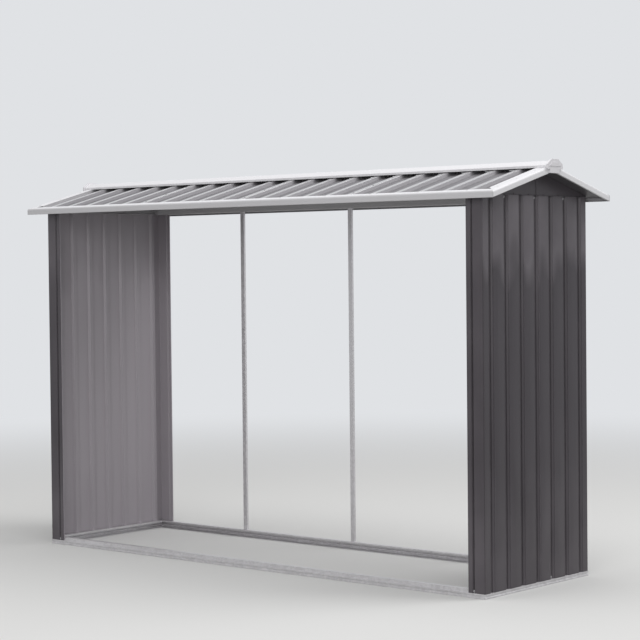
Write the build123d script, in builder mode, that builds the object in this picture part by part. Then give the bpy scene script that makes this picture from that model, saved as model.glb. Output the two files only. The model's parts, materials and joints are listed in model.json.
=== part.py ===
"""Log store of folded and ribbed sheet steel, open at the front and the back.

Two ribbed end walls with folded returns stand on a rail frame. Beams tie the
wall heads, three slim posts carry the back beam, and a low gable roof of
lapped trapezoidal sheets is edged with folded trims and a ridge cap.

Millimetres. X runs along the ridge, the front faces -Y, Z is up, and the
origin lies on the ground at the middle of the footprint.
"""
from build123d import *
import math
import os

# Driving dimensions: the body and the roof
BODY_L = 2350.0        # over the outer faces of the end walls
BODY_D = 680.0         # over the outer faces of the returns
WALL_TOP = 1473.0      # head of the ribbed walls
ROOF_ANGLE = 15.0      # slope of both roof sides, degrees
VERGE_OVERHANG = 79.0  # roof past each end wall
EAVE_OVERHANG = 46.0   # roof past the front and the back

# Sheet thicknesses and small gaps
SHEET = 0.8            # ribbed sheets, gables and trims
RAIL_SHEET = 1.2       # galvanised rails, posts and beams
SEAT = 0.1             # gap between sheets that lie on each other
BEND = 1.6             # bend radius of the wall panels and the ridge cap

# Base rails
RAIL_FACE_H = 18.0     # grooved face below the feet of the walls
RAIL_H = 31.0          # upstand behind the feet of the walls
RAIL_TOP_FLANGE = 20.0
RAIL_FOOT_FLANGE = 40.0
RAIL_PROUD = 1.5       # rail face past the wall face
RAIL_GROOVE_W = 8.0
RAIL_GROOVE_D = 2.5
RAIL_LIP = 6.0

# End walls
WALL_GROOVE_PITCH = 97.0  # nearest whole number of grooves is used
WALL_GROOVE_W = 30.0
WALL_GROOVE_FLOOR = 15.0
WALL_GROOVE_D = 10.0
WALL_LAP = 16.0
RETURN_W = 76.0        # front and back returns, from the corner
RETURN_GROOVE_AT = 52.0
RETURN_GROOVE_W = 11.0
RETURN_GROOVE_FLOOR = 4.0
RETURN_GROOVE_D = 5.0

# Beams, ties and posts
BEAM_DROP = 16.0       # underside of beams and ties below the heads of the walls
BEAM_FLANGE = 30.0
BEAM_LIP = 5.0
TIE_FLANGE = 22.0
POST_PITCH = 627.0
POST_W = 20.0
POST_DEPTH = 10.0
RIDGE_BEAM_W = 32.0
RIDGE_BEAM_H = 38.0
RIDGE_BEAM_FLANGE = 24.0

# Gables
GABLE_LAP = 6.0        # gable below the head of the wall
GABLE_FOLD = 12.0      # inward fold of each half at the middle seam
GABLE_DRIP = 5.0       # outward fold along the foot

# Roof sheets
RIB_PITCH = 113.0      # nearest whole number of ribs is used
RIB_TOP = 22.0
RIB_FOOT = 38.0
RIB_H = 12.0
SHEETS_PER_SIDE = 4
RIDGE_GAP = 6.0        # each side of the ridge line, under the cap

# Trims
TRIM_FACE = 25.0
TRIM_ROLL = 9.0        # radius of the soft fold between face and flange
TRIM_HEM = 8.0
EAVE_FLANGE = 26.0
VERGE_FLANGE = 50.0
CAP_HALF_W = 45.0
CAP_SIDE = 9.0
CAP_RISE = 26.0
CAP_CROWN_HALF_W = 20.0
END_CAP_T = 7.0
END_CAP_RIM = 6.0      # end cap past the ridge cap all round
END_CAP_TAB_W = 62.0
END_CAP_TAB_DROP = 20.0
END_CAP_BOSS = 2.0

# Places that follow from the sizes above
HALF_L = BODY_L / 2
HALF_D = BODY_D / 2
SLOPE = math.tan(math.radians(ROOF_ANGLE))
COS = math.cos(math.radians(ROOF_ANGLE))
SIN = math.sin(math.radians(ROOF_ANGLE))
ROOF_HALF_L = HALF_L + VERGE_OVERHANG
ROOF_HALF_D = HALF_D + EAVE_OVERHANG
BEAM_FACE = HALF_D - SHEET - RETURN_GROOVE_D  # the beams lie behind the return grooves
BEAM_BOTTOM = WALL_TOP - BEAM_DROP
LAP_LIFT = SHEET + SEAT
TRIM_LIFT = SHEET + RIB_H + LAP_LIFT + SEAT  # underside of trims, square to the slope

os.makedirs("parts", exist_ok=True)


def roof_z(y, lift=0.0):
    """Height of the plane that lies `lift` above the underside of the roof pans."""
    pan_at_wall = WALL_TOP + SEAT
    return pan_at_wall + (HALF_D - abs(y)) * SLOPE + lift / COS


def save(piece, name):
    """Label one finished piece and write it."""
    piece.label = name
    export_step(piece, f"parts/{name}.step")


def folded(points, thickness, plane, bend=0.0):
    """Closed section of a folded sheet: a line of flats, thickened on its left.

    `bend` is one radius for every fold, or a radius for each of them.
    """
    with BuildSketch(plane) as section:
        with BuildLine():
            if bend:
                outer = FilletPolyline(*points, radius=bend)
            else:
                outer = Polyline(*points)
            offset(outer, amount=thickness, side=Side.LEFT, kind=Kind.ARC)
        make_face()
    return section.sketch


def mirrored(piece, plane, name):
    """The same piece on the other side."""
    with BuildPart() as twin:
        mirror(piece, about=plane)
    save(twin.part, name)
    return twin.part


def mitre(corner_x, corner_y):
    """Upright 45 degree plane through a corner; it faces the front or back piece."""
    facing = (-math.copysign(1, corner_x), math.copysign(1, corner_y), 0)
    return Plane(origin=(corner_x, corner_y, 0), z_dir=facing)


# Base rails: a grooved face, a ledge for the walls, an upstand behind them and flanges
def rail_section(plane, ledge):
    middle = RAIL_FACE_H / 2
    half = RAIL_GROOVE_W / 2
    points = [
        (RAIL_FOOT_FLANGE, 0),
        (0, 0),
        (0, middle - half),
        (RAIL_GROOVE_D, middle - half / 2),
        (RAIL_GROOVE_D, middle + half / 2),
        (0, middle + half),
        (0, RAIL_FACE_H),
        (ledge, RAIL_FACE_H),
        (ledge, RAIL_H),
        (ledge + RAIL_TOP_FLANGE, RAIL_H),
        (ledge + RAIL_TOP_FLANGE, RAIL_H - RAIL_LIP),
    ]
    return folded(points[::-1], RAIL_SHEET, plane)


RAIL_X = HALF_L + RAIL_PROUD
RAIL_Y = HALF_D + RAIL_PROUD
FRONT_LEDGE = RAIL_PROUD + SHEET + RETURN_GROOVE_D + SEAT
SIDE_LEDGE = RAIL_PROUD + SHEET + WALL_GROOVE_D + SEAT

with BuildPart() as base_rail_front:
    rail_end = Plane(origin=(-RAIL_X, -RAIL_Y, 0), x_dir=(0, 1, 0), z_dir=(1, 0, 0))
    extrude(rail_section(rail_end, FRONT_LEDGE), amount=2 * RAIL_X)
    split(bisect_by=mitre(RAIL_X, -RAIL_Y), keep=Keep.TOP)
    split(bisect_by=mitre(-RAIL_X, -RAIL_Y), keep=Keep.TOP)
save(base_rail_front.part, "base_rail_front")
mirrored(base_rail_front.part, Plane.XZ, "base_rail_back")

with BuildPart() as base_rail_right:
    rail_end = Plane(origin=(RAIL_X, RAIL_Y, 0), x_dir=(-1, 0, 0), z_dir=(0, 1, 0))
    extrude(rail_section(rail_end, SIDE_LEDGE), amount=-2 * RAIL_Y)
    split(bisect_by=mitre(RAIL_X, -RAIL_Y), keep=Keep.BOTTOM)
    split(bisect_by=mitre(RAIL_X, RAIL_Y), keep=Keep.BOTTOM)
save(base_rail_right.part, "base_rail_right")
mirrored(base_rail_right.part, Plane.YZ, "base_rail_left")


# End walls: each is two bent panels that lap in the middle groove
def groove(centre, width, floor, depth):
    """Flats of one groove as (along, inward) pairs."""
    return [
        (centre - width / 2, 0),
        (centre - floor / 2, depth),
        (centre + floor / 2, depth),
        (centre + width / 2, 0),
    ]


GROOVES = 2 * round(BODY_D / WALL_GROOVE_PITCH / 2 - 0.5) + 1
GROOVE_STEP = BODY_D / GROOVES
RETURN_GROOVE = groove(RETURN_GROOVE_AT, RETURN_GROOVE_W, RETURN_GROOVE_FLOOR, RETURN_GROOVE_D)


def return_points(side):
    """Outer face of a return at y = side * HALF_D, from its free edge to the corner."""
    free_edge = HALF_L - RETURN_W
    line = [(free_edge, side * BEAM_FACE), (free_edge, side * HALF_D)]
    for along, inward in reversed(RETURN_GROOVE):
        line.append((HALF_L - along, side * (HALF_D - inward)))
    line.append((HALF_L, side * HALF_D))
    return line


def side_points(first, last):
    """Outer face of the grooves from number `first` to `last`, counted from the middle."""
    line = []
    for number in range(first, last + 1):
        centre = number * GROOVE_STEP
        for along, inward in groove(centre, WALL_GROOVE_W, WALL_GROOVE_FLOOR, WALL_GROOVE_D):
            line.append((HALF_L - inward, along))
    return line


OUTER_GROOVE = (GROOVES - 1) // 2
WALL_FOOT = Plane.XY.offset(RAIL_FACE_H)
WALL_H = WALL_TOP - RAIL_FACE_H

with BuildPart() as right_wall_front_panel:
    flats = return_points(-1) + side_points(-OUTER_GROOVE, 0)
    flats[-1] = (HALF_L - SHEET - SEAT, WALL_GROOVE_W / 2)
    flats.append((HALF_L - SHEET - SEAT, WALL_GROOVE_W / 2 + WALL_LAP))
    extrude(folded(flats, SHEET, WALL_FOOT, BEND), amount=WALL_H)
save(right_wall_front_panel.part, "right_wall_front_panel")
mirrored(right_wall_front_panel.part, Plane.YZ, "left_wall_front_panel")

with BuildPart() as right_wall_back_panel:
    flats = return_points(1) + side_points(1, OUTER_GROOVE)[::-1]
    flats.append((HALF_L, WALL_GROOVE_W / 2 + BEND))
    extrude(folded(flats[::-1], SHEET, WALL_FOOT, BEND), amount=WALL_H)
save(right_wall_back_panel.part, "right_wall_back_panel")
mirrored(right_wall_back_panel.part, Plane.YZ, "left_wall_back_panel")

# Eave beams: channels whose top flange follows the roof, with their plain web to the
# inside and their lips behind the returns
BEAM_HALF_L = HALF_L - SHEET - WALL_GROOVE_D
with BuildPart() as front_beam:
    beam_end = Plane(origin=(-BEAM_HALF_L, 0, 0), x_dir=(0, 1, 0), z_dir=(1, 0, 0))
    inner = BEAM_FACE - BEAM_FLANGE
    flats = [
        (-BEAM_FACE, BEAM_BOTTOM + BEAM_LIP),
        (-BEAM_FACE, BEAM_BOTTOM),
        (-inner, BEAM_BOTTOM),
        (-inner, roof_z(inner)),
        (-BEAM_FACE, roof_z(BEAM_FACE)),
        (-BEAM_FACE, roof_z(BEAM_FACE) - BEAM_LIP),
    ]
    extrude(folded(flats, RAIL_SHEET, beam_end), amount=2 * BEAM_HALF_L)
save(front_beam.part, "front_beam")
mirrored(front_beam.part, Plane.XZ, "back_beam")

# Wall ties: channels along the wall heads, between the two beams
TIE_FACE = BEAM_HALF_L
TIE_HALF_L = BEAM_FACE - BEAM_FLANGE
with BuildPart() as right_wall_tie:
    tie_end = Plane(origin=(0, TIE_HALF_L, 0), x_dir=(-1, 0, 0), z_dir=(0, 1, 0))
    flats = [
        (-TIE_FACE + TIE_FLANGE, BEAM_BOTTOM),
        (-TIE_FACE, BEAM_BOTTOM),
        (-TIE_FACE, WALL_TOP),
        (-TIE_FACE + TIE_FLANGE, WALL_TOP),
    ]
    extrude(folded(flats[::-1], RAIL_SHEET, tie_end), amount=-2 * TIE_HALF_L)
save(right_wall_tie.part, "right_wall_tie")
mirrored(right_wall_tie.part, Plane.YZ, "left_wall_tie")

# Back posts: slim channels from the base rail to the back beam, open to the back
POST_FACE = BEAM_FACE
for number, name in ((-1, "back_post_left"), (0, "back_post_middle"), (1, "back_post_right")):
    with BuildPart() as back_post:
        front = POST_FACE - POST_DEPTH
        half = POST_W / 2
        flats = [(-half, POST_FACE), (-half, front), (half, front), (half, POST_FACE)]
        post_foot = Plane(origin=(number * POST_PITCH, 0, RAIL_H))
        extrude(folded(flats, RAIL_SHEET, post_foot), amount=BEAM_BOTTOM - RAIL_H)
    save(back_post.part, name)

# Ridge beam: a hat section whose wings lie under the roof pans
RIDGE_BEAM_HALF_L = HALF_L - GABLE_FOLD
with BuildPart() as ridge_beam:
    beam_end = Plane(origin=(-RIDGE_BEAM_HALF_L, 0, 0), x_dir=(0, 1, 0), z_dir=(1, 0, 0))
    web = RIDGE_BEAM_W / 2
    wing = web + RIDGE_BEAM_FLANGE
    bottom = roof_z(web) - RIDGE_BEAM_H
    flats = [
        (-wing, roof_z(wing)),
        (-web, roof_z(web)),
        (-web, bottom),
        (web, bottom),
        (web, roof_z(web)),
        (wing, roof_z(wing)),
    ]
    extrude(folded(flats[::-1], RAIL_SHEET, beam_end), amount=2 * RIDGE_BEAM_HALF_L)
save(ridge_beam.part, "ridge_beam")


# Gables: two halves outside the wall heads, folded in at the middle seam and out at
# the foot
GABLE_FOOT = WALL_TOP - GABLE_LAP
UNDER_ROOF = Plane(origin=(0, 0, roof_z(0)), x_dir=(1, 0, 0), z_dir=(0, -SIN, COS))
with BuildPart() as right_gable_front:
    flats = [
        (HALF_L + SHEET, -HALF_D),
        (HALF_L + SHEET, -SEAT / 2),
        (HALF_L - GABLE_FOLD, -SEAT / 2),
    ]
    gable_foot = Plane.XY.offset(GABLE_FOOT)
    extrude(folded(flats, SHEET, gable_foot), amount=roof_z(0) - GABLE_FOOT)
    split(bisect_by=UNDER_ROOF, keep=Keep.BOTTOM)
    with BuildSketch(gable_foot):
        with Locations((HALF_L, 0)):
            Rectangle(GABLE_FOLD, HALF_D, align=(Align.MAX, Align.MAX))
    extrude(amount=GABLE_LAP + SEAT, mode=Mode.SUBTRACT)
    with BuildSketch(Plane(origin=(HALF_L, -HALF_D, GABLE_FOOT), x_dir=(1, 0, 0), z_dir=(0, -1, 0))):
        Rectangle(SHEET + GABLE_DRIP, SHEET, align=(Align.MIN, Align.MIN))
    extrude(amount=-(HALF_D - SEAT / 2))
save(right_gable_front.part, "right_gable_front")
mirrored(right_gable_front.part, Plane.XZ, "right_gable_back")
mirrored(right_gable_front.part, Plane.YZ, "left_gable_front")
with BuildPart() as left_gable_back:
    mirror(right_gable_front.part, about=Plane.YZ)
mirrored(left_gable_back.part, Plane.XZ, "left_gable_back")


# Roof sheets: each laps the one before it over a shared rib, and all of them end where
# the rolled folds of the trims begin
RIBS = round((2 * ROOF_HALF_L - RIB_TOP) / RIB_PITCH)
RIB_STEP = (2 * ROOF_HALF_L - RIB_TOP) / RIBS
SHEET_TOP = RIB_H + LAP_LIFT + SHEET  # top of a lap rib, square to the slope
SLOPE_L = (ROOF_HALF_D - TRIM_ROLL - RIDGE_GAP - SHEET_TOP * SIN) / COS
FLANK = (RIB_FOOT - RIB_TOP) / 2
FLANK_RATIO = FLANK / RIB_H
LAP_SPREAD = LAP_LIFT * math.tan(math.atan(RIB_H / FLANK) / 2)


def rib_x(number):
    return -ROOF_HALF_L + RIB_TOP / 2 + number * RIB_STEP


def roof_sheet_points(first, last):
    """Underside of one sheet, from rib `first` to rib `last`."""
    top = RIB_TOP / 2
    foot = RIB_FOOT / 2
    points = []
    for number in range(first, last + 1):
        x = rib_x(number)
        if number == 0:
            points += [(x - top + TRIM_ROLL, RIB_H), (x + top, RIB_H), (x + foot, 0)]
        elif number == RIBS:
            points += [(x - foot, 0), (x - top, RIB_H), (x + top - TRIM_ROLL, RIB_H)]
        elif number == first:
            high = RIB_H + LAP_LIFT
            wide = top + LAP_SPREAD
            low = RIB_H / 2
            points += [
                (x - wide - (high - low) * FLANK_RATIO, low),
                (x - wide, high),
                (x + wide, high),
                (x + wide + high * FLANK_RATIO, 0),
            ]
        elif number == last:
            points += [(x - foot, 0), (x - top, RIB_H), (x + top - SHEET, RIB_H)]
        else:
            points += [(x - foot, 0), (x - top, RIB_H), (x + top, RIB_H), (x + foot, 0)]
    return points


LAPS = [round(RIBS * number / SHEETS_PER_SIDE) for number in range(SHEETS_PER_SIDE + 1)]
for number, (first, last) in enumerate(zip(LAPS[:-1], LAPS[1:]), start=1):
    with BuildPart() as roof_sheet_front:
        ridge_line = Plane(
            origin=(0, -RIDGE_GAP, roof_z(RIDGE_GAP)),
            x_dir=(1, 0, 0),
            z_dir=(0, -COS, -SIN),
        )
        extrude(folded(roof_sheet_points(first, last), SHEET, ridge_line), amount=SLOPE_L)
    save(roof_sheet_front.part, f"roof_sheet_front_{number}")
    mirrored(roof_sheet_front.part, Plane.XZ, f"roof_sheet_back_{number}")


# Trims: a flange on the ribs, a rolled fold, a vertical face and a hem, mitred at the
# corners
EDGE_X = ROOF_HALF_L + SHEET + SEAT
EDGE_Y = ROOF_HALF_D + SHEET + SEAT
TRIM_TOP = roof_z(EDGE_Y, TRIM_LIFT + SHEET)
TRIM_BENDS = (TRIM_ROLL, BEND)

with BuildPart() as eave_trim_front:
    trim_end = Plane(origin=(-EDGE_X, 0, 0), x_dir=(0, 1, 0), z_dir=(1, 0, 0))
    flats = [
        (-EDGE_Y + EAVE_FLANGE, TRIM_TOP + EAVE_FLANGE * SLOPE),
        (-EDGE_Y, TRIM_TOP),
        (-EDGE_Y, TRIM_TOP - TRIM_FACE),
        (-EDGE_Y + TRIM_HEM, TRIM_TOP - TRIM_FACE),
    ]
    extrude(folded(flats, SHEET, trim_end, TRIM_BENDS), amount=2 * EDGE_X)
    split(bisect_by=mitre(EDGE_X, -EDGE_Y), keep=Keep.TOP)
    split(bisect_by=mitre(-EDGE_X, -EDGE_Y), keep=Keep.TOP)
save(eave_trim_front.part, "eave_trim_front")
mirrored(eave_trim_front.part, Plane.XZ, "eave_trim_back")

with BuildPart() as right_verge_trim_front:
    verge_foot = Plane(origin=(0, -EDGE_Y, 0), x_dir=(-1, 0, 0), z_dir=(0, 1, 0))
    flats = [
        (-EDGE_X + VERGE_FLANGE, TRIM_TOP),
        (-EDGE_X, TRIM_TOP),
        (-EDGE_X, TRIM_TOP - TRIM_FACE),
        (-EDGE_X + TRIM_HEM, TRIM_TOP - TRIM_FACE),
    ]
    verge_section = folded(flats, SHEET, verge_foot, TRIM_BENDS)
    extrude(verge_section, amount=EDGE_Y / COS, dir=(0, COS, SIN))
    split(bisect_by=mitre(EDGE_X, -EDGE_Y), keep=Keep.BOTTOM)
save(right_verge_trim_front.part, "right_verge_trim_front")
mirrored(right_verge_trim_front.part, Plane.XZ, "right_verge_trim_back")
mirrored(right_verge_trim_front.part, Plane.YZ, "left_verge_trim_front")
with BuildPart() as left_verge_trim_back:
    mirror(right_verge_trim_front.part, about=Plane.YZ)
mirrored(left_verge_trim_back.part, Plane.XZ, "left_verge_trim_back")

# Ridge cap: a crowned cover whose sides stand on the trims and ribs
CAP_FOOT = roof_z(CAP_HALF_W - SHEET, TRIM_LIFT + SHEET + SEAT)
CAP_LINE = [
    (-CAP_HALF_W, CAP_FOOT),
    (-CAP_HALF_W, CAP_FOOT + CAP_SIDE),
    (-CAP_CROWN_HALF_W, CAP_FOOT + CAP_RISE),
    (CAP_CROWN_HALF_W, CAP_FOOT + CAP_RISE),
    (CAP_HALF_W, CAP_FOOT + CAP_SIDE),
    (CAP_HALF_W, CAP_FOOT),
]
with BuildPart() as ridge_cap:
    cap_end = Plane(origin=(-EDGE_X, 0, 0), x_dir=(0, 1, 0), z_dir=(1, 0, 0))
    extrude(folded(CAP_LINE[::-1], SHEET, cap_end, BEND), amount=2 * EDGE_X)
save(ridge_cap.part, "ridge_cap")

# Ridge end caps: moulded covers with a tab below the gable point
with BuildPart() as right_ridge_end_cap:
    with BuildSketch(Plane(origin=(EDGE_X, 0, 0), x_dir=(0, 1, 0), z_dir=(1, 0, 0))):
        with BuildLine():
            Polyline(*CAP_LINE, close=True)
        make_face()
        offset(amount=END_CAP_RIM, kind=Kind.ARC)
        with Locations((0, CAP_FOOT - END_CAP_TAB_DROP / 2)):
            Rectangle(END_CAP_TAB_W, END_CAP_TAB_DROP)
    extrude(amount=END_CAP_T)
    with BuildSketch(Plane(origin=(EDGE_X + END_CAP_T, 0, 0), x_dir=(0, 1, 0), z_dir=(1, 0, 0))):
        with BuildLine():
            Polyline(*CAP_LINE, close=True)
        make_face()
        offset(amount=-END_CAP_RIM, kind=Kind.INTERSECTION, mode=Mode.REPLACE)
    extrude(amount=END_CAP_BOSS)
save(right_ridge_end_cap.part, "right_ridge_end_cap")
mirrored(right_ridge_end_cap.part, Plane.YZ, "left_ridge_end_cap")
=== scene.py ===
# %% [markdown]
# # Log store of ribbed sheet steel
#
# A flat-pack log store: two end walls of folded, ribbed sheet, open at the front and at
# the back, under a low gable roof with pale folded trims. Its sheets, rails, beams and
# posts come as finished CAD solids in metres, with X along the ridge, the front towards
# -Y and the undersides of the rails at Z = 0.
#
# Two things are left for this lesson. The first is the screws and rivets that hold
# such a store together, which are too small for the CAD model. The second is the
# finish of every surface: coil-coated steel, hot-dip zinc and moulded plastic.

# %% Load the frame
import bmesh
import bpy
import json
import math
from mathutils import Matrix, Vector


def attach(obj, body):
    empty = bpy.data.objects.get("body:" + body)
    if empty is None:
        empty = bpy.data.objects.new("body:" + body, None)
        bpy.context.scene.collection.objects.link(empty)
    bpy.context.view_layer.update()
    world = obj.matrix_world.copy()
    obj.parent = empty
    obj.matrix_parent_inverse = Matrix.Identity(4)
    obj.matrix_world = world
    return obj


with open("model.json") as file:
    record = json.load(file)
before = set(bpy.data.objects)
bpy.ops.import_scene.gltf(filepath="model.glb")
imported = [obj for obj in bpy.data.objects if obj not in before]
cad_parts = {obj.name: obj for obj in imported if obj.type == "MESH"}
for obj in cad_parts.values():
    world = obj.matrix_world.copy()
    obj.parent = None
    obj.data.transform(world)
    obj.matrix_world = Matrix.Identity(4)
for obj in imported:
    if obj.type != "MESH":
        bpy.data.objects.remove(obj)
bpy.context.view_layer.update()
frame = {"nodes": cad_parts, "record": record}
nodes = frame["nodes"]
print("pieces in the frame:", len(nodes))

# %% [markdown]
# ## Camera
#
# The camera stands in front of the right end, at chest height, about eight metres away,
# so the front and the right wall both show and the roof is seen almost edge on. A lens
# of about 107 mm on a full-frame sensor gives a gentle perspective. The camera is rolled
# by half a degree, as the photograph is, and no shift is used, so the middle of the
# picture is the middle of the lens.

# %% Camera
MM = 0.001
camera_place = Vector((5.2022, -5.9218, 1.2157))
camera_turn = math.radians(40.711)
camera_pitch = math.radians(-1.648)
camera_roll = math.radians(-0.572)

camera_data = bpy.data.cameras.new("camera")
camera_data.sensor_width = 36.0
camera_data.lens = 107.13
camera = bpy.data.objects.new("camera", camera_data)
bpy.context.scene.collection.objects.link(camera)
camera.matrix_world = (
    Matrix.Translation(camera_place)
    @ Matrix.Rotation(camera_turn, 4, "Z")
    @ Matrix.Rotation(math.pi / 2 + camera_pitch, 4, "X")
    @ Matrix.Rotation(camera_roll, 4, "Z")
)
bpy.context.scene.camera = camera
print("camera distance in metres:", round(camera_place.length, 2))

# %% [markdown]
# ## Helpers for materials
#
# Colours are written as sRGB hex values, the way a colour card gives them, and one
# function turns them to the linear values that Blender calculates with. Another one
# adds a node with its settings and its inputs. An input is a plain value, another
# node, or one output of a node, so a whole pattern reads from top to bottom.

# %% Helpers for materials
GLOSS_SPREAD = 0.05  # roughness varies by this much to either side


def colour(hex_code):
    """Linear colour of an sRGB hex value such as "#4b494c"."""
    parts = [int(hex_code[i:i + 2], 16) / 255 for i in (1, 3, 5)]
    curve = [c / 12.92 if c <= 0.04045 else ((c + 0.055) / 1.055) ** 2.4 for c in parts]
    return (*curve, 1.0)


def add(tree, kind, inputs=None, **settings):
    """Add a node. An input is a value, a node (its first output) or one output."""
    node = tree.nodes.new(kind)
    for name, value in settings.items():
        setattr(node, name, value)
    for name, value in (inputs or {}).items():
        if isinstance(value, bpy.types.Node):
            value = value.outputs[0]
        if isinstance(value, bpy.types.NodeSocket):
            tree.links.new(value, node.inputs[name])
        else:
            node.inputs[name].default_value = value
    return node


def new_material(name):
    """An empty node material, and its node tree."""
    material = bpy.data.materials.new(name)
    material.use_nodes = True
    material.node_tree.nodes.clear()
    return material, material.node_tree


# %% [markdown]
# ## Coil-coated steel
#
# The walls, the gables and the roof are thin zinc-plated steel that was painted as a
# flat coil and baked before it was roll-formed. The weather side has a satin
# polyester coat, and the inner side only a thin paler backing coat. That is why the
# inside of such a store looks lighter than its outside.
#
# The paint itself is even, without brush marks. What the eye reads as sheet metal is
# that thin sheet never lies quite flat between its folds. Each flat bows out a little,
# and reflections drift over it in long soft waves, which the trade calls oil canning.
# Rain leaves faint streaks down the sheet and splashes dust up at the foot. The walls are
# also painted paler at the foot and, more, in a band under the eaves. This is painted
# reflection, so both zones are paler than the middle. The waves of the sheet also move the
# edges of these zones up and down.
#
# Roll-formed bends are round, not sharp. The Bevel node rounds how the light falls on
# them, within a radius given for each kind of sheet, and leaves the solids as they are.
# Inside the walls the radius is small. A wide one draws a dark line beside each groove
# there, and in a real store the inside looks nearly plain.
#
# To tell the two sides apart, the material asks whether the surface faces away from
# the middle of the store. For the walls that question is put to a box with rounded
# corners: a place that is cubed three times over, as a share of the half sizes, points
# straight out of the nearest wall. Trims add a little of the upward direction, and for
# the roof the upward direction alone is enough.

# %% Places on the store
WALL_X, RETURN_Y = 1175, 340  # outer faces, in millimetres
HALF_L, HALF_D = WALL_X * MM, RETURN_Y * MM
GROOVES = 7
GROOVE_STEP = 2 * HALF_D / GROOVES
SLOPE_ANGLE = math.radians(15)
ROOF_SLOPE = math.tan(SLOPE_ANGLE)
GROOVE_EDGE, GROOVE_FLOOR = 1174.5 * MM, 1170 * MM
RIB_TOP_LOW, RIB_TOP_HIGH = 1576.2 * MM, 1577.2 * MM  # height plus the fall from the ridge
EAVE_ROLL_START, EAVE_ROLL_END = 380 * MM, 386.5 * MM
print("step from groove to groove in mm:", round(GROOVE_STEP / MM, 1))

# %% Which side of a sheet
# What "outwards" means for each kind of sheet: the shares of X and Y, and the lift.
OUT_OF_WALLS = ((1 / HALF_L, 1 / HALF_D, 0), 0.0)
OUT_OF_ENDS = ((1 / HALF_L, 0, 0), 0.0)
OUT_OF_TRIMS = ((1 / HALF_L, 1 / HALF_D, 0), 0.3)
UPWARDS = ((0, 0, 0), 1.0)


def weather_side(tree, place, facing, box, lift):
    """1 on the side of the sheet that faces the weather, 0 on the inner side."""
    out = add(tree, "ShaderNodeVectorMath", {0: place, 1: box}, operation="MULTIPLY")
    for _ in range(3):
        square = add(tree, "ShaderNodeVectorMath", {0: out, 1: out}, operation="MULTIPLY")
        out = add(tree, "ShaderNodeVectorMath", {0: square, 1: out}, operation="MULTIPLY")
    out = add(tree, "ShaderNodeVectorMath", {0: out, 1: (0, 0, lift)}, operation="ADD")
    outwards = add(
        tree, "ShaderNodeVectorMath", {0: out, 1: facing}, operation="DOT_PRODUCT"
    ).outputs["Value"]
    return add(tree, "ShaderNodeMath", {0: outwards, 1: 0.0}, operation="GREATER_THAN")


# %% Coil-coated steel
# The waves move the edges of the dust and of the painted reflection on the walls.
WAVE_SWING = 0.4  # how far the waves move the dust's edges, in metres
FOOT_TOP, FOOT_BOTTOM, FOOT_DUST_AND_REFLECTION = 0.66, 0.34, 0.3
# A paler band under the eaves of the walls: painted reflection.
REFLECTION_BAND_BOTTOM, REFLECTION_BAND_TOP, PAINTED_REFLECTION_AMOUNT = 1.36, 1.46, 0.6
STREAK_DUST = 0.15
SHELTERED_DUST, GROOVE_REFLECTION_SHARE = 0.2, 0.3
# On the trims, painted shade: a trace on the flanges, much more on the faces.
FLANGE_PAINTED_SHADE, FACE_PAINTED_SHADE = 0.02, 0.45
# A paler silver painted on the rib tops: a painted highlight.
PAINTED_HIGHLIGHT_SILVER, WASHED_ROUGHNESS, WASHED_COAT_ROUGHNESS = "#99979a", 0.2, 0.1
BOW_LEAST, BOW_MOST = 2.0, 6.0
SEAM_REACH, SEAM_DEPTH = 6 * MM, -1.5
INSIDE_BEND = 1.5 * MM


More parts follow.
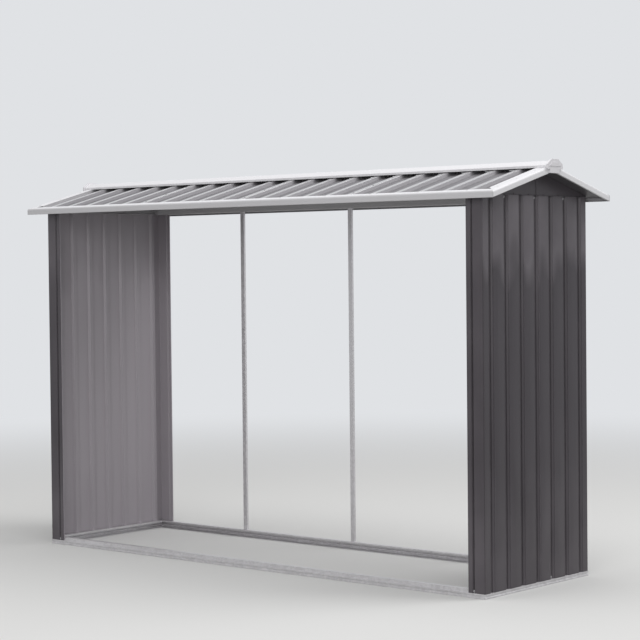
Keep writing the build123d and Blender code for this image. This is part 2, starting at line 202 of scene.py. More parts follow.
def coil_coated(name, paint, backing_and_painted_shade, dust_and_painted_light, roughness, metallic, specular, outwards, bend_mm,
                streaks_mm, waves_mm, depth_mm, shape=""):
    """Pre-painted sheet. Sizes of streaks and waves are given along X, Y and Z.

    Bends are rounded by bend_mm, and waves are depth_mm high. The shape says what else
    the sheet shows: "grooves" (walls), "seam" (gables), "ribs" (roof) or "trims".
    """
    material, tree = new_material(name)
    texture_place = add(tree, "ShaderNodeTexCoord")
    place, facing = texture_place.outputs["Object"], texture_place.outputs["Normal"]
    patterns = {}
    for pattern, size_mm, detail in (
        ("waves", waves_mm, 1.0),
        ("streaks", streaks_mm, 3.0),
        ("clouds", (220, 220, 300), 3.0),
        ("specks", (3, 3, 3), 2.0),
    ):
        scale = [1 / (size * MM) for size in size_mm]
        stretched = add(tree, "ShaderNodeMapping", {"Vector": place, "Scale": scale})
        patterns[pattern] = add(
            tree, "ShaderNodeTexNoise", {"Vector": stretched, "Scale": 1.0, "Detail": detail}
        )
    coordinates = add(tree, "ShaderNodeSeparateXYZ", {0: place}).outputs
    outside = weather_side(tree, place, facing, *outwards)

    # Dust and painted reflection: dust thin in the streaks, dust and painted reflection at
    # the foot, and on the walls a band of painted reflection under the eaves.
    wavy_height = add(
        tree,
        "ShaderNodeMath",
        {0: patterns["waves"], 1: WAVE_SWING, 2: coordinates["Z"]},
        operation="MULTIPLY_ADD",
    )
    foot = add(
        tree,
        "ShaderNodeMapRange",
        {0: wavy_height, 1: FOOT_TOP, 2: FOOT_BOTTOM, 3: 0.0, 4: FOOT_DUST_AND_REFLECTION},
    )
    dust_and_painted_reflection = add(
        tree,
        "ShaderNodeMath",
        {0: patterns["streaks"], 1: STREAK_DUST, 2: foot},
        operation="MULTIPLY_ADD",
    )
    if shape == "grooves":
        # Under the eaves the band of painted reflection lies on the flats, which stand proud,
        # and only a third of it in the grooves. Dust lies thicker in the grooves and on the
        # returns, which rain washes less.
        sideways = add(tree, "ShaderNodeMath", {0: coordinates["X"]}, operation="ABSOLUTE")
        set_back = add(
            tree, "ShaderNodeMapRange", {0: sideways, 1: GROOVE_EDGE, 2: GROOVE_FLOOR}
        )
        sheltered = add(
            tree, "ShaderNodeMath", {0: set_back, 1: outside}, operation="MULTIPLY"
        )
        painted_reflection_band = add(
            tree,
            "ShaderNodeMapRange",
            {0: wavy_height, 1: REFLECTION_BAND_BOTTOM, 2: REFLECTION_BAND_TOP, 3: 0.0, 4: PAINTED_REFLECTION_AMOUNT},
        )
        painted_reflection_share = add(
            tree, "ShaderNodeMapRange", {0: sheltered, 3: 1.0, 4: GROOVE_REFLECTION_SHARE}
        )
        for amount, share in ((painted_reflection_band, painted_reflection_share), (sheltered, SHELTERED_DUST)):
            dust_and_painted_reflection = add(
                tree,
                "ShaderNodeMath",
                {0: amount, 1: share, 2: dust_and_painted_reflection},
                operation="MULTIPLY_ADD",
            )
    dust_and_painted_light_share = add(tree, "ShaderNodeMath", {0: dust_and_painted_reflection, 1: patterns["clouds"]}, operation="MULTIPLY")
    if shape == "trims":
        # The faces of the eave trims are painted darker than their flanges: painted shade, as
        # the faces get less light than the flanges above them.
        reach = add(tree, "ShaderNodeMath", {0: coordinates["Y"]}, operation="ABSOLUTE")
        dust_and_painted_light_share = add(
            tree,
            "ShaderNodeMapRange",
            {0: reach, 1: EAVE_ROLL_START, 2: EAVE_ROLL_END, 3: FLANGE_PAINTED_SHADE, 4: FACE_PAINTED_SHADE},
        )

    coats = add(
        tree,
        "ShaderNodeMix",
        {0: outside, 6: colour(backing_and_painted_shade), 7: colour(paint)},
        data_type="RGBA",
    ).outputs[2]
    shade = add(
        tree, "ShaderNodeMix", {0: dust_and_painted_light_share, 6: coats, 7: colour(dust_and_painted_light)}, data_type="RGBA"
    ).outputs[2]
    gloss = add(
        tree,
        "ShaderNodeMapRange",
        {0: patterns["streaks"], 3: roughness - GLOSS_SPREAD, 4: roughness + GLOSS_SPREAD},
    )
    clear_gloss = 0.0
    if shape == "ribs":
        # The tops of the ribs are glossier and carry a clear coat, so seen at a low angle they
        # mirror the light from above. They are also painted a paler silver: a painted
        # highlight.
        depth = add(tree, "ShaderNodeMath", {0: coordinates["Y"]}, operation="ABSOLUTE")
        height = add(
            tree,
            "ShaderNodeMath",
            {0: depth, 1: ROOF_SLOPE, 2: coordinates["Z"]},
            operation="MULTIPLY_ADD",
        )
        top = add(tree, "ShaderNodeMapRange", {0: height, 1: RIB_TOP_LOW, 2: RIB_TOP_HIGH})
        gloss_and_highlight_tops = add(tree, "ShaderNodeMath", {0: top, 1: outside}, operation="MULTIPLY")
        clear_gloss = gloss_and_highlight_tops
        gloss = add(
            tree,
            "ShaderNodeMix",
            {0: gloss_and_highlight_tops, 2: gloss, 3: WASHED_ROUGHNESS},
            data_type="FLOAT",
        )
        shade = add(
            tree,
            "ShaderNodeMix",
            {0: gloss_and_highlight_tops, 6: shade, 7: colour(PAINTED_HIGHLIGHT_SILVER)},
            data_type="RGBA",
        ).outputs[2]

    relief = patterns["waves"]
    if shape == "grooves":
        # Each flat bows out between its grooves. The count is moved by whole steps first,
        # so that it is never below zero and its fraction runs the same way everywhere.
        across = add(
            tree, "ShaderNodeMath", {0: coordinates["Y"], 1: GROOVE_STEP}, operation="DIVIDE"
        )
        moved = add(tree, "ShaderNodeMath", {0: across, 1: 10.0}, operation="ADD")
        share = add(tree, "ShaderNodeMath", {0: moved}, operation="FRACT")
        rest = add(tree, "ShaderNodeMath", {0: 1.0, 1: share}, operation="SUBTRACT")
        hump = add(tree, "ShaderNodeMath", {0: share, 1: rest}, operation="MULTIPLY")
        swing = add(
            tree, "ShaderNodeMapRange", {0: patterns["waves"], 3: BOW_LEAST, 4: BOW_MOST}
        )
        relief = add(tree, "ShaderNodeMath", {0: hump, 1: swing}, operation="MULTIPLY")
    if shape == "seam":
        # The folds at the middle seam draw in over a few millimetres.
        side = add(tree, "ShaderNodeMath", {0: coordinates["Y"]}, operation="ABSOLUTE")
        drawn = add(
            tree, "ShaderNodeMapRange", {0: side, 2: SEAM_REACH, 3: SEAM_DEPTH, 4: 0.0}
        )
        relief = add(tree, "ShaderNodeMath", {0: relief, 1: drawn}, operation="ADD")
    bend = bend_mm * MM
    if shape == "grooves":
        bend = add(tree, "ShaderNodeMapRange", {0: outside, 3: INSIDE_BEND, 4: bend})
    rounded = add(tree, "ShaderNodeBevel", {"Radius": bend}, samples=6)
    orange_peel = add(
        tree,
        "ShaderNodeBump",
        {
            "Strength": 0.12,
            "Distance": 0.05 * MM,
            "Height": patterns["specks"],
            "Normal": rounded,
        },
    )
    bent = add(
        tree,
        "ShaderNodeBump",
        {
            "Strength": 1.0,
            "Distance": depth_mm * MM,
            "Height": relief,
            "Normal": orange_peel,
        },
    )
    coat = add(
        tree,
        "ShaderNodeBsdfPrincipled",
        {
            "Base Color": shade,
            "Roughness": gloss,
            "Metallic": metallic,
            "Specular IOR Level": specular,
            "Coat Weight": clear_gloss,
            "Coat Roughness": WASHED_COAT_ROUGHNESS,
            "Normal": bent,
        },
    )
    add(tree, "ShaderNodeOutputMaterial", {"Surface": coat})
    return material


# %% Coats of the sheets
# Anthracite wall coat: satin, so the bowed flats carry long soft reflections.
# Its dust colour also paints the paler zones of painted reflection at the foot and under the
# eaves.
wall_coat = coil_coated(
    "anthracite_wall_coat",
    paint="#3b363b", backing_and_painted_shade="#aba5ab", dust_and_painted_light="#918b91",
    roughness=0.38, metallic=0.0, specular=0.35, outwards=OUT_OF_WALLS, bend_mm=6.0,
    streaks_mm=(9, 9, 600), waves_mm=(90, 90, 420), depth_mm=2.2, shape="grooves",
)
# Gable coat: the same paint on plain flat sheet, with slower waves.
gable_coat = coil_coated(
    "anthracite_gable_coat",
    paint="#4c474c", backing_and_painted_shade="#918b91", dust_and_painted_light="#918b91",
    roughness=0.38, metallic=0.0, specular=0.35, outwards=OUT_OF_ENDS, bend_mm=2.0,
    streaks_mm=(9, 9, 600), waves_mm=(200, 200, 120), depth_mm=1.2, shape="seam",
)
# Roof coat: silver-grey with aluminium flakes, so folds that face the light flash up.
# Its backing coat is painted darker than its weather coat: painted shade on the undersides of
# the sheets.
roof_coat = coil_coated(
    "silver_grey_roof_coat",
    paint="#78767a", backing_and_painted_shade="#4f4c50", dust_and_painted_light="#a09c97",
    roughness=0.45, metallic=0.25, specular=0.5, outwards=UPWARDS, bend_mm=2.5,
    streaks_mm=(14, 500, 14), waves_mm=(90, 260, 260), depth_mm=0.5, shape="ribs",
)
# Beam coat: a light grey primer on the folded beams and ties, duller than the sheets.
beam_coat = coil_coated(
    "grey_beam_primer",
    paint="#d3d1d4", backing_and_painted_shade="#d3d1d4", dust_and_painted_light="#8e8b8f",
    roughness=0.48, metallic=0.0, specular=0.35, outwards=UPWARDS, bend_mm=2.0,
    streaks_mm=(600, 9, 9), waves_mm=(300, 60, 60), depth_mm=0.5,
)
# Trim coat: nearly white and glossier, so folded edges read as crisp bright lines.
# Its dust colour is also the colour of the painted shade on the faces of the eave trims.
trim_coat = coil_coated(
    "pale_trim_coat",
    paint="#e6e5e8", backing_and_painted_shade="#bfbec1", dust_and_painted_light="#a3a1a4",
    roughness=0.32, metallic=0.0, specular=0.5, outwards=OUT_OF_TRIMS, bend_mm=1.5,
    streaks_mm=(14, 14, 14), waves_mm=(400, 400, 400), depth_mm=0.4, shape="trims",
)
print("coated finishes:", 5)

# %% [markdown]
# ## Hot-dip zinc
#
# Rails and posts are bare galvanised channels. Zinc freezes on the steel in flat
# crystals of 5 to 15 mm, the spangle, each with its own brightness because each one
# mirrors in its own direction. A thin grey film of zinc oxide soon covers the crystals,
# so the surface is partly a mirror and partly matt. A Voronoi pattern with cells of that
# size gives every crystal one value, and that value sets the brightness, the roughness
# and, through the bump, a very slight tilt.

# %% Hot-dip zinc
OXIDE_PATCH, OXIDE_SHARE = 90 * MM, 0.5
CLEAR_CRYSTAL, CLOUDED_CRYSTAL = 0.38, 0.52
MIRROR_SHARE = 0.65


def galvanised(name, bright, dull, crystal):
    """Spangled zinc with crystals of the given size in metres."""
    material, tree = new_material(name)
    place = add(tree, "ShaderNodeTexCoord").outputs["Object"]
    cells = add(tree, "ShaderNodeTexVoronoi", {"Vector": place, "Scale": 1 / crystal})
    crystal_value = add(tree, "ShaderNodeSeparateColor", {0: cells.outputs["Color"]})
    bloom = add(
        tree, "ShaderNodeTexNoise", {"Vector": place, "Scale": 1 / OXIDE_PATCH, "Detail": 4.0}
    )
    mixed = add(
        tree,
        "ShaderNodeMix",
        {0: crystal_value, 6: colour(dull), 7: colour(bright)},
        data_type="RGBA",
    ).outputs[2]
    faded = add(tree, "ShaderNodeMapRange", {0: bloom, 3: 0.0, 4: OXIDE_SHARE})
    weathered = add(
        tree, "ShaderNodeMix", {0: faded, 6: mixed, 7: colour(dull)}, data_type="RGBA"
    ).outputs[2]
    turn = add(
        tree,
        "ShaderNodeBump",
        {"Strength": 0.2, "Distance": 0.1 * MM, "Height": crystal_value},
    )
    gloss = add(
        tree, "ShaderNodeMapRange", {0: crystal_value, 3: CLEAR_CRYSTAL, 4: CLOUDED_CRYSTAL}
    )
    zinc = add(
        tree,
        "ShaderNodeBsdfPrincipled",
        {
            "Base Color": weathered,
            "Metallic": MIRROR_SHARE,
            "Roughness": gloss,
            "Normal": turn,
        },
    )
    add(tree, "ShaderNodeOutputMaterial", {"Surface": zinc})
    return material


# Galvanised steel: cool grey crystals that glint unevenly along rails and posts.
galvanised_steel = galvanised(
    "galvanised_steel", bright="#dfdddf", dull="#cdcbcd", crystal=11 * MM
)
# Zinc-plated screws: a finer grain than dipped zinc and a little darker, so that the
# heads show as small dull lights on the dark walls.
plated_screw = galvanised(
    "zinc_plated_screw", bright="#cbcbcc", dull="#acacad", crystal=2 * MM
)
print("zinc finishes:", 2)

# %% [markdown]
# ## Moulded plastic
#
# The two covers at the ends of the ridge are injection-moulded ABS in a pale grey.
# A mould is spark-eroded or blasted, so its parts come out with a fine even grain that
# breaks up the highlight. Real grain is about 0.2 mm across, too fine to show here,
# so it is drawn ten times as coarse and very shallow.

# %% Moulded plastic
CHALK_PATCH = 30 * MM


def moulded_plastic(name, body, shadow, roughness, grain):
    """Plastic or rubber with a mould grain of the given size in metres."""
    material, tree = new_material(name)
    place = add(tree, "ShaderNodeTexCoord").outputs["Object"]
    grains = add(tree, "ShaderNodeTexNoise", {"Vector": place, "Scale": 1 / grain})
    chalk = add(tree, "ShaderNodeTexNoise", {"Vector": place, "Scale": 1 / CHALK_PATCH})
    shade = add(
        tree, "ShaderNodeMix", {0: chalk, 6: colour(body), 7: colour(shadow)}, data_type="RGBA"
    ).outputs[2]
    turn = add(
        tree, "ShaderNodeBump", {"Strength": 0.25, "Distance": 0.2 * MM, "Height": grains}
    )
    gloss = add(
        tree,
        "ShaderNodeMapRange",
        {0: grains, 3: roughness - GLOSS_SPREAD, 4: roughness + GLOSS_SPREAD},
    )
    plastic = add(
        tree,
        "ShaderNodeBsdfPrincipled",
        {"Base Color": shade, "Roughness": gloss, "Normal": turn, "IOR": 1.53},
    )
    add(tree, "ShaderNodeOutputMaterial", {"Surface": plastic})
    return material


# ABS of the ridge covers: matt and slightly chalky beside the glossier trims.
cover_plastic = moulded_plastic(
    "abs_cover", body="#e6e4e8", shadow="#dbd9dd", roughness=0.50, grain=2 * MM
)
# EPDM of the sealing rings: near-black rubber that draws a thin ring round each screw.
ring_rubber = moulded_plastic(
    "epdm_ring", body="#2c2b2c", shadow="#3a3938", roughness=0.75, grain=1 * MM
)
print("moulded finishes:", 2)

# %% [markdown]
# ## Dress the CAD pieces
#
# The record names a finish for each piece, as a works drawing would. Going through
# it puts the right material in every slot and leaves no piece bare.

# %% Dress the CAD pieces
FINISHES = {
    "wall_sheet": wall_coat,
    "gable_sheet": gable_coat,
    "roof_sheet": roof_coat,
    "beam_paint": beam_coat,
    "galvanised_steel": galvanised_steel,
    "trim_paint": trim_coat,
    "end_cap_plastic": cover_plastic,
}
for part in frame["record"]["subparts"]:
    solid = nodes[part["node"]]
    solid.data.materials.clear()
    solid.data.materials.append(FINISHES[part["material_slot"]])

# %% [markdown]
# ## Floor and light
#
# A plain pale floor carries the shadow of the store. Further out it fades into the
# pale background, by distance from the object, so no horizon line cuts the picture.
# A real floor this pale would light the store strongly from below, far more than such a
# store is lit outdoors, so the light that it throws back is that of a darker floor.
#
# The light is that of a bright overcast day: a pale surround, a large soft lamp
# overhead, and a second one high behind the right end, which catches the ribs of the
# roof. A third lamp, far off in front, lifts the inside of the walls out of the shade.

# %% Floor
FLOOR_RADIUS = 40.0
FLOOR_DROP = -0.5 * MM  # keeps the floor clear of the undersides of the rails
FADE_START, FADE_END = 2.0, 8.0
BACKDROP, FLOOR_SEEN, FLOOR_THROWN_BACK = "#e0e2e5", "#dededd", "#a9aaa8"

floor_mesh = bmesh.new()
bmesh.ops.create_circle(floor_mesh, cap_ends=True, segments=96, radius=FLOOR_RADIUS)
bmesh.ops.translate(floor_mesh, verts=floor_mesh.verts, vec=(0, 0, FLOOR_DROP))
floor_data = bpy.data.meshes.new("floor")
floor_mesh.to_mesh(floor_data)
floor_mesh.free()
floor = bpy.data.objects.new("floor", floor_data)
bpy.context.scene.collection.objects.link(floor)


def plainly_seen(tree):
    """1 for rays that should see the plain background: camera, glossy and see-through."""
    rays = add(tree, "ShaderNodeLightPath").outputs
    seen = add(
        tree,
        "ShaderNodeMath",
        {0: rays["Is Camera Ray"], 1: rays["Is Glossy Ray"]},
        operation="MAXIMUM",
    )
    return add(
        tree, "ShaderNodeMath", {0: seen, 1: rays["Is Transmission Ray"]}, operation="MAXIMUM"
    )


floor_finish, floor_tree = new_material("pale_floor")
floor_place = add(floor_tree, "ShaderNodeTexCoord").outputs["Object"]
from_middle = add(floor_tree, "ShaderNodeVectorMath", {0: floor_place}, operation="LENGTH")
distance = add(
    floor_tree,
    "ShaderNodeMapRange",
    {0: from_middle.outputs["Value"], 1: FADE_START, 2: FADE_END},
    interpolation_type="SMOOTHSTEP",
)
plain_share = plainly_seen(floor_tree)
fade = add(floor_tree, "ShaderNodeMath", {0: distance, 1: plain_share}, operation="MULTIPLY")
floor_shade = add(
    floor_tree,
    "ShaderNodeMix",
    {0: plain_share, 6: colour(FLOOR_THROWN_BACK), 7: colour(FLOOR_SEEN)},
    data_type="RGBA",
).outputs[2]
matt = add(floor_tree, "ShaderNodeBsdfDiffuse", {"Color": floor_shade})
far = add(floor_tree, "ShaderNodeEmission", {"Color": colour(BACKDROP), "Strength": 1.0})
floor_surface = add(floor_tree, "ShaderNodeMixShader", {0: fade, 1: matt, 2: far})
add(floor_tree, "ShaderNodeOutputMaterial", {"Surface": floor_surface})
floor_data.materials.append(floor_finish)
print("floor radius in metres:", FLOOR_RADIUS)

# %% Light
SURROUND_STRENGTH = 0.50
LAMP_AIM, LAMP_WATTS = (0, 0, 0.8), 150

surround = bpy.data.worlds.new("surround")
surround.use_nodes = True
bpy.context.scene.world = surround
sky = surround.node_tree
sky.nodes.clear()
sky_colour = add(
    sky,
    "ShaderNodeMix",
    {0: plainly_seen(sky), 6: [SURROUND_STRENGTH] * 3 + [1.0], 7: colour(BACKDROP)},
    data_type="RGBA",
).outputs[2]
pale = add(sky, "ShaderNodeBackground", {"Color": sky_colour, "Strength": 1.0})
add(sky, "ShaderNodeOutputWorld", {"Surface": pale})


def soft_lamp(name, place, size):
    """A square area lamp at place that looks at the middle of the store."""
    lamp_data = bpy.data.lights.new(name, "AREA")
    lamp_data.size = size
    lamp_data.energy = LAMP_WATTS
    lamp = bpy.data.objects.new(name, lamp_data)
    lamp.location = place
    way = Vector(LAMP_AIM) - Vector(place)
    lamp.rotation_euler = way.to_track_quat("-Z", "Y").to_euler()
    bpy.context.scene.collection.objects.link(lamp)


soft_lamp("key_lamp", (3.85, 2.45, 6.1), 3.5)
soft_lamp("top_lamp", (0.3, -0.8, 7.0), 5.0)
soft_lamp("front_lamp", (4.0, -7.0, 3.0), 4.0)
print("watts of each lamp:", LAMP_WATTS)

# %% [markdown]
# ## One screw
#
# Self-drilling screws hold the walls to the rails, the ties and the beams. Each one is
# a pan head with a cross recess on a washer with a rubber ring. The head is turned: a
# few points of its outline, spun round its axis. The recess starts as a smaller face
# inside the top, whose corners between the arms are pulled to the middle before the
# face is pushed in. One screw has few faces, because it is repeated so often.

# %% Turned shapes
SIDES = 16
HEAD_R, HEAD_H = 3.4 * MM, 2.1 * MM
WASHER_R, WASHER_T = 4.8 * MM, 0.8 * MM
RING_R, RING_T = 4.5 * MM, 0.7 * MM
RECESS_R, RECESS_D = 2.0 * MM, 1.2 * MM
CROSS_PULL, RECESS_TAPER = 0.62, 0.6
MERGE = 0.01 * MM


def turned(outline, sides):
    """Spin an outline of (radius, height) points round Z; it starts and ends on the axis."""
    shape = bmesh.new()
    corners = [shape.verts.new((radius, 0, height)) for radius, height in outline]
    edges = [shape.edges.new(pair) for pair in zip(corners[:-1], corners[1:])]
    bmesh.ops.spin(
        shape,
        geom=corners + edges,
        cent=(0, 0, 0),
        axis=(0, 0, 1),
        angle=2 * math.pi,
        steps=sides,
        use_merge=True,
    )
    bmesh.ops.remove_doubles(shape, verts=shape.verts, dist=MERGE)
    bmesh.ops.recalc_face_normals(shape, faces=shape.faces)
    return shape


def kept(shape, name):
    """Turn a finished bmesh into a mesh."""
    data = bpy.data.meshes.new(name)
    shape.to_mesh(data)
    shape.free()
    return data


# %% One screw
def screw_head():
    """A pan head on its washer, with a cross recess; its seat lies at Z = RING_T."""
    seat = RING_T
    top = seat + WASHER_T
    crown_height = top + HEAD_H
    outline = [
        (0, seat),
        (WASHER_R, seat),
        (WASHER_R, seat + WASHER_T * 0.6),
        (HEAD_R + 0.5 * MM, top),
        (HEAD_R, top),
        (HEAD_R, top + HEAD_H * 0.45),
        (HEAD_R * 0.78, top + HEAD_H * 0.85),
        (RECESS_R * 1.25, crown_height),
        (0, crown_height),
    ]
    shape = turned(outline, SIDES)
    crown = [f for f in shape.faces if f.calc_center_median().z > crown_height - MERGE]
    bmesh.ops.dissolve_faces(shape, faces=crown)
    crown = max(shape.faces, key=lambda face: face.calc_center_median().z)
    bmesh.ops.inset_region(shape, faces=[crown], thickness=RECESS_R * 0.25)
    crown = max(shape.faces, key=lambda face: (face.calc_center_median().z, len(face.verts)))
    for corner in crown.verts:
        turn = math.atan2(corner.co.y, corner.co.x)
        between_arms = math.sin(2 * turn) ** 2
        corner.co.x *= 1 - CROSS_PULL * between_arms
        corner.co.y *= 1 - CROSS_PULL * between_arms
    pushed = bmesh.ops.extrude_discrete_faces(shape, faces=[crown])["faces"]
    recess_floor = pushed[0].verts[:]
    bmesh.ops.translate(shape, verts=recess_floor, vec=(0, 0, -RECESS_D))
    middle_of_recess = Matrix.Translation((0, 0, RECESS_D - crown_height))
    taper = (RECESS_TAPER, RECESS_TAPER, 1)
    bmesh.ops.scale(shape, verts=recess_floor, vec=taper, space=middle_of_recess)
    return kept(shape, "screw_head")


head_mesh = screw_head()
ring_mesh = kept(turned([(0, 0), (RING_R, 0), (RING_R, RING_T), (0, RING_T)], SIDES), "ring")
print("faces of one screw:", len(head_mesh.polygons) + len(ring_mesh.polygons))

# %% [markdown]
# ## One rivet
#
# The roof, the gables and the trims are joined with blind rivets, whose low domes are
# painted like the sheet that they hold, so they hardly show from afar. A dome is the
# same turned shape with fewer points. The small dimple in its middle is where the
# pulling pin broke off.

# %% One rivet
RIVET_SIDES = 12
RIVET_R, RIVET_H = 4.0 * MM, 1.6 * MM
PIN_R, PIN_DEPTH = 1.0 * MM, 0.5 * MM

rivet_outline = [
    (0, 0),
    (RIVET_R, 0),
    (RIVET_R, RIVET_H * 0.2),
    (RIVET_R * 0.8, RIVET_H * 0.72),
    (RIVET_R * 0.5, RIVET_H * 0.97),
    (PIN_R, RIVET_H),
    (PIN_R * 0.8, RIVET_H - PIN_DEPTH),
    (0, RIVET_H - PIN_DEPTH),
]
rivet_mesh = kept(turned(rivet_outline, RIVET_SIDES), "rivet")
print("faces of one rivet:", len(rivet_mesh.polygons))

# %% [markdown]
# ## Where the fixings sit
#
# A screw must lie on the sheet that it holds, at the sheet's own slope. Each place is
# found by pointing at the sheet from outside. A ray from a point in front of the piece
# gives the spot that it meets and the direction that the surface faces there. Each
# fixing is turned further than the last, so the crosses don't line up, as they don't on
# real screws. The fixings of one row become a single piece.

# %% Rows of fixings
SCREW = ((head_mesh, plated_screw), (ring_mesh, ring_rubber))
AWAY = 0.5  # metres from which the ray starts
TWIST = math.radians(37)
fixing_count = 0


def fixing_row(name, fixing, way, places):
    """Fixings at (node, point) pairs as one piece; way points from outside to the sheet."""
    global fixing_count
    way = Vector(way)
    shape = bmesh.new()
    for number, (node, point) in enumerate(places):
        start = Vector(point) * MM - way * AWAY
        met, spot, normal, _ = nodes[node].ray_cast(start, way)
        if not met:
            raise ValueError(f"no surface of {node} at {point}")
        stand = normal.to_track_quat("Z", "Y").to_matrix().to_4x4()
        twist = Matrix.Rotation(TWIST * number, 4, "Z")
        for finish, (data, _) in enumerate(fixing):
            copy = data.copy()
            copy.transform(Matrix.Translation(spot) @ stand @ twist)
            before = len(shape.faces)
            shape.from_mesh(copy)
            shape.faces.ensure_lookup_table()
            for face in shape.faces[before:]:
                face.material_index = finish
            bpy.data.meshes.remove(copy)
    joined = kept(shape, name)
    for _, finish in fixing:
        joined.materials.append(finish)
    piece = bpy.data.objects.new(name, joined)
    bpy.context.scene.collection.objects.link(piece)
    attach(piece, "root")
    fixing_count += len(places)


# %% [markdown]
# ## Screws in the walls
#
# The feet of the walls stand in front of the rails' upstands, and their heads in front
# of the ties and beams, so that is where the screws go: in the floors of the grooves,
# where the sheet touches what is behind it. Heads have one in every second groove, and
# feet one for each panel and each return.

# %% Screws in the walls
FOOT_Z, HEAD_Z = 24.5, 1460
RETURN_GROOVE_X = WALL_X - 52
HEAD_GROOVES = (("front", -2), ("front", 0), ("back", 2))
FOOT_GROOVES = (("back", 1),)

for side, sign in (("left", -1), ("right", 1)):
    places = []
    for grooves, z in ((HEAD_GROOVES, HEAD_Z), (FOOT_GROOVES, FOOT_Z)):
        for face, number in grooves:
            spot = (sign * WALL_X, number * GROOVE_STEP / MM, z)
            places.append((f"{side}_wall_{face}_panel", spot))
    fixing_row(f"{side}_wall_screws", SCREW, (-sign, 0, 0), places)
    for face, way in (("front", 1), ("back", -1)):
        node = f"{side}_wall_{face}_panel"
        x, y = sign * RETURN_GROOVE_X, -way * RETURN_Y
        places = [(node, (x, y, z)) for z in (FOOT_Z, HEAD_Z)]
        name = f"{side}_{face}_return_screws"
        fixing_row(name, SCREW, (0, way, 0), places)
print("fixings so far:", fixing_count)

# %% [markdown]
# ## Rivets in the roof and the trims
#
# The roof sheets are riveted to the eave beams in every second pan and to each other
# along the lapped ribs. The eave trims sit on every second rib, and the verge trims on
# the outermost rib. All are placed by pointing straight down on the roof, so the
# heights need only be near the sheet.

# %% Rivets in the roof
RIB_STEP = 113
RIBS = 22
FIRST_RIBS = (0, 6, 11, 16, RIBS)  # the first rib of each sheet, and the last rib of all
BEAM_Y, EAVE_TRIM_Y = 319, 369
VERGE_X = 1236
ALONG_SLOPE = (90, 210, 330)
PAN_Z, EAVE_Z, LAP_Z, VERGE_Z = 1475, 1480, 1490, 1500
DOWN = (0, 0, -1)
PAINTED_RIVETS = {
    "roof_sheet": ((rivet_mesh, roof_coat),),
    "trim_paint": ((rivet_mesh, trim_coat),),
    "gable_sheet": ((rivet_mesh, gable_coat),),
}


def rib_x(number):
    """Middle of a rib, counted from the left verge."""
    return (number - RIBS / 2) * RIB_STEP


def painted_row(name, slot, way, places):
    """A row of rivets in the paint of the sheet that they hold."""
    fixing_row(name, PAINTED_RIVETS[slot], way, places)


for face, sign in (("front", -1), ("back", 1)):
    places = []
    for sheet, (first, last) in enumerate(zip(FIRST_RIBS[:-1], FIRST_RIBS[1:]), start=1):
        node = f"roof_sheet_{face}_{sheet}"
        pans = [rib_x(rib + 0.5) for rib in range(first, last) if rib % 2 == 0]
        places += [(node, (x, sign * BEAM_Y, PAN_Z)) for x in pans]
        if first:
            places += [(node, (rib_x(first), sign * y, LAP_Z)) for y in ALONG_SLOPE]
    painted_row(f"roof_{face}_rivets", "roof_sheet", DOWN, places)
    node, y = f"eave_trim_{face}", sign * EAVE_TRIM_Y
    places = [(node, (rib_x(rib), y, EAVE_Z)) for rib in range(1, RIBS, 2)]
    painted_row(f"{node}_rivets", "trim_paint", DOWN, places)
    for side, end in (("left", -1), ("right", 1)):
        node = f"{side}_verge_trim_{face}"
        places = [(node, (end * VERGE_X, sign * y, VERGE_Z)) for y in ALONG_SLOPE]
        painted_row(f"{node}_rivets", "trim_paint", DOWN, places)
print("fixings so far:", fixing_count)

# %% [markdown]
# ## Rivets in the gables
#
# The foot of each gable laps the heads of the walls by a few millimetres. Small painted
# rivets hold it there, one on each flat between two grooves.

# %% Rivets in the gables
GABLE_X, GABLE_RIVET_Z = 1176, 1471.5
FLATS_Y = [(number + 0.5) * GROOVE_STEP / MM for number in range(3)]
for side, end in (("left", -1), ("right", 1)):
    for face, sign in (("front", -1), ("back", 1)):
        node = f"{side}_gable_{face}"
        places = [(node, (end * GABLE_X, sign * y, GABLE_RIVET_Z)) for y in FLATS_Y]
        painted_row(f"{node}_rivets", "gable_sheet", (-end, 0, 0), places)
print("fixings in all:", fixing_count)

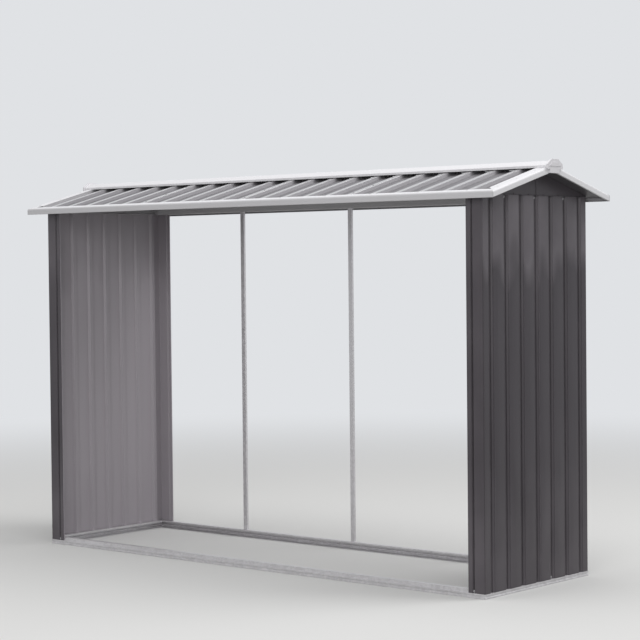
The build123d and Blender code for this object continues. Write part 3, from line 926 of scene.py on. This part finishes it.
# %% [markdown]
# ## Lips of the verge trims
#
# The inner edge of each verge trim is folded down on to the pan, so that rain and light
# can't get in beside the outermost rib. The fold is a plain strip: a cube, scaled to its
# length, height and thickness, turned to the slope of the roof and moved to the edge.

# %% Lips of the verge trims
LIP_X, LIP_T = 1205.0, 0.8
LIP_FROM, LIP_TO = 336.9, 8.0  # from the eave to the ridge
LIP_LOW, LIP_HIGH = 0.9, 14.3  # above the pan
PAN_AT_RETURN = 1473.1
PAN_AT_RIDGE = PAN_AT_RETURN + RETURN_Y * ROOF_SLOPE
EASED_EDGE = 0.2 * MM

length = (LIP_FROM - LIP_TO) / math.cos(SLOPE_ANGLE)
for side, end in (("left", -1), ("right", 1)):
    for face, sign in (("front", -1), ("back", 1)):
        strip = bmesh.new()
        bmesh.ops.create_cube(strip, size=1.0)
        box = Vector((LIP_T, length, LIP_HIGH - LIP_LOW)) * MM
        bmesh.ops.scale(strip, verts=strip.verts, vec=box)
        raised = (0, 0, (LIP_HIGH + LIP_LOW) / 2 * MM)
        bmesh.ops.translate(strip, verts=strip.verts, vec=raised)
        long_edges = [edge for edge in strip.edges if edge.calc_length() > 0.1]
        bmesh.ops.bevel(
            strip,
            geom=long_edges,
            offset=EASED_EDGE,
            affect="EDGES",
            segments=1,
            profile=0.5,
            material=-1,
        )
        middle_y = sign * (LIP_FROM + LIP_TO) / 2
        middle_z = PAN_AT_RIDGE - abs(middle_y) * ROOF_SLOPE
        turn = Matrix.Rotation(-sign * SLOPE_ANGLE, 4, "X")
        middle = Vector((end * (LIP_X + LIP_T / 2), middle_y, middle_z)) * MM
        place = Matrix.Translation(middle)
        bmesh.ops.transform(strip, matrix=place @ turn, verts=strip.verts)
        lip_name = f"{side}_verge_lip_{face}"
        lip_mesh = kept(strip, lip_name)
        lip_mesh.materials.append(trim_coat)
        lip = bpy.data.objects.new(lip_name, lip_mesh)
        bpy.context.scene.collection.objects.link(lip)
        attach(lip, "root")
print("lip length in mm:", round(length, 1))

# %% View transform
bpy.context.scene.view_settings.view_transform = "Standard"
